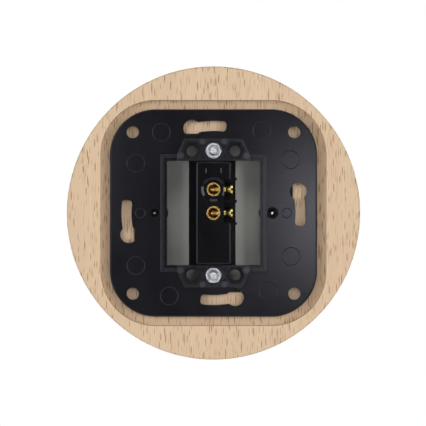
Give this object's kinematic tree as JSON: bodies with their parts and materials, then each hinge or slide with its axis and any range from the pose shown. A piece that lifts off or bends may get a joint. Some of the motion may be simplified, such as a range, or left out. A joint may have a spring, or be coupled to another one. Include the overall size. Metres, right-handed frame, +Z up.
{
  "type": "toggle light switch",
  "caption": "Round wall light switch: beech frame, glazed ceramic cover, black support plate and a narrow toggle switch module with brass terminals.",
  "frame": {"origin": "centre of the beech frame's rear face, which lies on the wall", "axes": "+Z up the wall, -Y out of the wall towards the user, +Y into the wall"},
  "size_m": [0.1, 0.0413, 0.1],
  "materials": {
    "beech": "fine sanded, unvarnished",
    "glazed_ceramic": "glossy glaze",
    "plate_plastic": "satin moulded",
    "module_plastic": "satin moulded",
    "brass": "turned",
    "zinc_steel": "bright zinc plating",
    "nickel": "nickel plated",
    "spring_steel": "drawn",
    "plunger_plastic": "moulded",
    "contact_bronze": "rolled strip",
    "contact_silver": "silver"
  },
  "bodies": {
    "switch_body": {"wood_frame": "beech", "ceramic_cover": "glazed_ceramic", "support_plate": "plate_plastic", "switch_cover": "module_plastic", "switch_base": "module_plastic", "terminal_common": "brass", "terminal_load": "brass", "fixing_screw_upper": "zinc_steel", "fixing_screw_lower": "zinc_steel", "fixing_nut_upper": "zinc_steel", "fixing_nut_lower": "zinc_steel", "cover_screw_left": "nickel", "cover_screw_right": "nickel", "pivot_pin": "spring_steel", "fixed_contact": "contact_silver"},
    "lever": {"toggle_lever": "nickel", "lever_spring": "spring_steel"},
    "plunger": {"plunger": "plunger_plastic"},
    "rocker": {"contact_rocker": "contact_bronze", "moving_contact": "contact_silver"},
    "clamp_screw_common": {"terminal_screw_common": "brass"},
    "clamp_screw_load": {"terminal_screw_load": "brass"}
  },
  "joints": [
    {"name": "toggle_tip", "type": "hinge", "parent": "switch_body", "child": "lever", "pos_m": [0, -0.0066, 0], "axis": [1, 0, 0], "range_deg": [0, 28]},
    {"name": "rocker_tip", "type": "hinge", "parent": "switch_body", "child": "rocker", "pos_m": [0, 0.0029, 0], "axis": [1, 0, 0], "range_deg": [-16, 0]},
    {"name": "plunger_slide", "type": "slide", "parent": "lever", "child": "plunger", "axis": [0, -0.9703, 0.2419], "range_m": [0, 0.0012], "stiffness_N_per_m": 800, "springref_m": -0.0015, "deforming": ["lever_spring"]},
    {"name": "clamp_common", "type": "slide", "parent": "switch_body", "child": "clamp_screw_common", "axis": [-1, 0, 0], "range_m": [0, 0.003]},
    {"name": "clamp_load", "type": "slide", "parent": "switch_body", "child": "clamp_screw_load", "axis": [-1, 0, 0], "range_m": [0, 0.003]}
  ],
  "couplings": [
    {"joint": "rocker_tip", "follows": "toggle_tip", "ratio": -0.57143}
  ]
}
